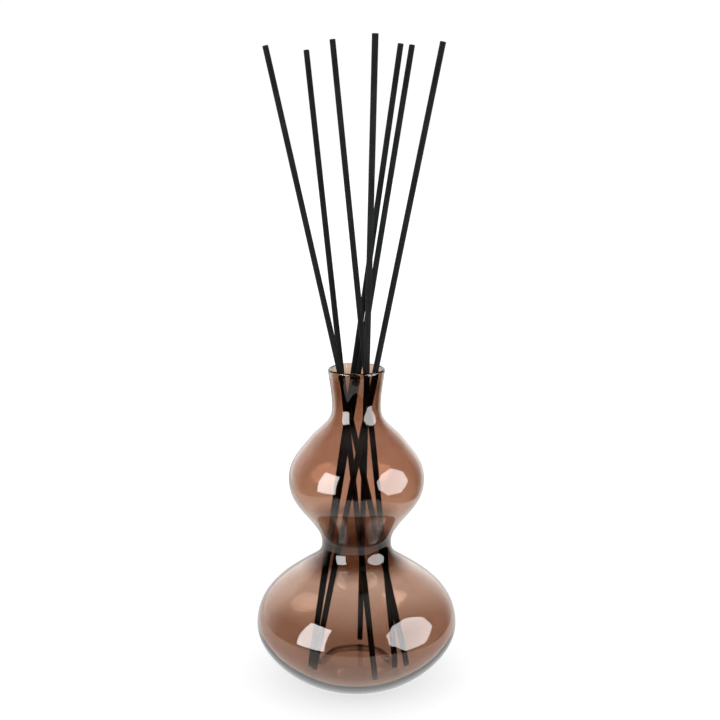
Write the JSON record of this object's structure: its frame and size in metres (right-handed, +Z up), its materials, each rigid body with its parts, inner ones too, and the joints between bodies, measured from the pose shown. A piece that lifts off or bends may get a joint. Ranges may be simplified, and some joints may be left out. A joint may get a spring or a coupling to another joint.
{
  "type": "reed diffuser",
  "caption": "Tinted glass bottle in the shape of a double gourd, with black fibre reeds that stand loose in its neck.",
  "frame": {"origin": "centre of the ring that the bottle rests on", "axes": "+Z up along the bottle's axis, -Y towards the front, +X to the right as seen from the front"},
  "size_m": [0.096, 0.096, 0.3007],
  "materials": {
    "tinted_glass": "clear brown blown glass, smooth and glossy, with a fire-polished lip",
    "black_fibre": "matt black bonded fibre with fine lengthwise streaks and square-cut ends"
  },
  "bodies": {
    "bottle": {"bottle": "tinted_glass"},
    "reed_1": {"reed_1": "black_fibre"},
    "reed_2": {"reed_2": "black_fibre"},
    "reed_3": {"reed_3": "black_fibre"},
    "reed_4": {"reed_4": "black_fibre"},
    "reed_5": {"reed_5": "black_fibre"},
    "reed_6": {"reed_6": "black_fibre"},
    "reed_7": {"reed_7": "black_fibre"}
  },
  "joints": [
    {"name": "reed_1_slide", "type": "slide", "parent": "bottle", "child": "reed_1", "axis": [-0.2204, 0.0959, 0.9707], "range_m": [0, 0.148]},
    {"name": "reed_2_slide", "type": "slide", "parent": "bottle", "child": "reed_2", "axis": [-0.1087, 0.2059, 0.9725], "range_m": [0, 0.148]},
    {"name": "reed_3_slide", "type": "slide", "parent": "bottle", "child": "reed_3", "axis": [-0.1002, 0.0979, 0.9901], "range_m": [0, 0.148]},
    {"name": "reed_4_slide", "type": "slide", "parent": "bottle", "child": "reed_4", "axis": [0.0196, -0.2071, 0.9781], "range_m": [0, 0.148]},
    {"name": "reed_5_slide", "type": "slide", "parent": "bottle", "child": "reed_5", "axis": [0.1423, 0.1145, 0.9832], "range_m": [0, 0.148]},
    {"name": "reed_6_slide", "type": "slide", "parent": "bottle", "child": "reed_6", "axis": [0.1612, 0.1278, 0.9786], "range_m": [0, 0.148]},
    {"name": "reed_7_slide", "type": "slide", "parent": "bottle", "child": "reed_7", "axis": [0.1969, 0.061, 0.9785], "range_m": [0, 0.148]}
  ]
}
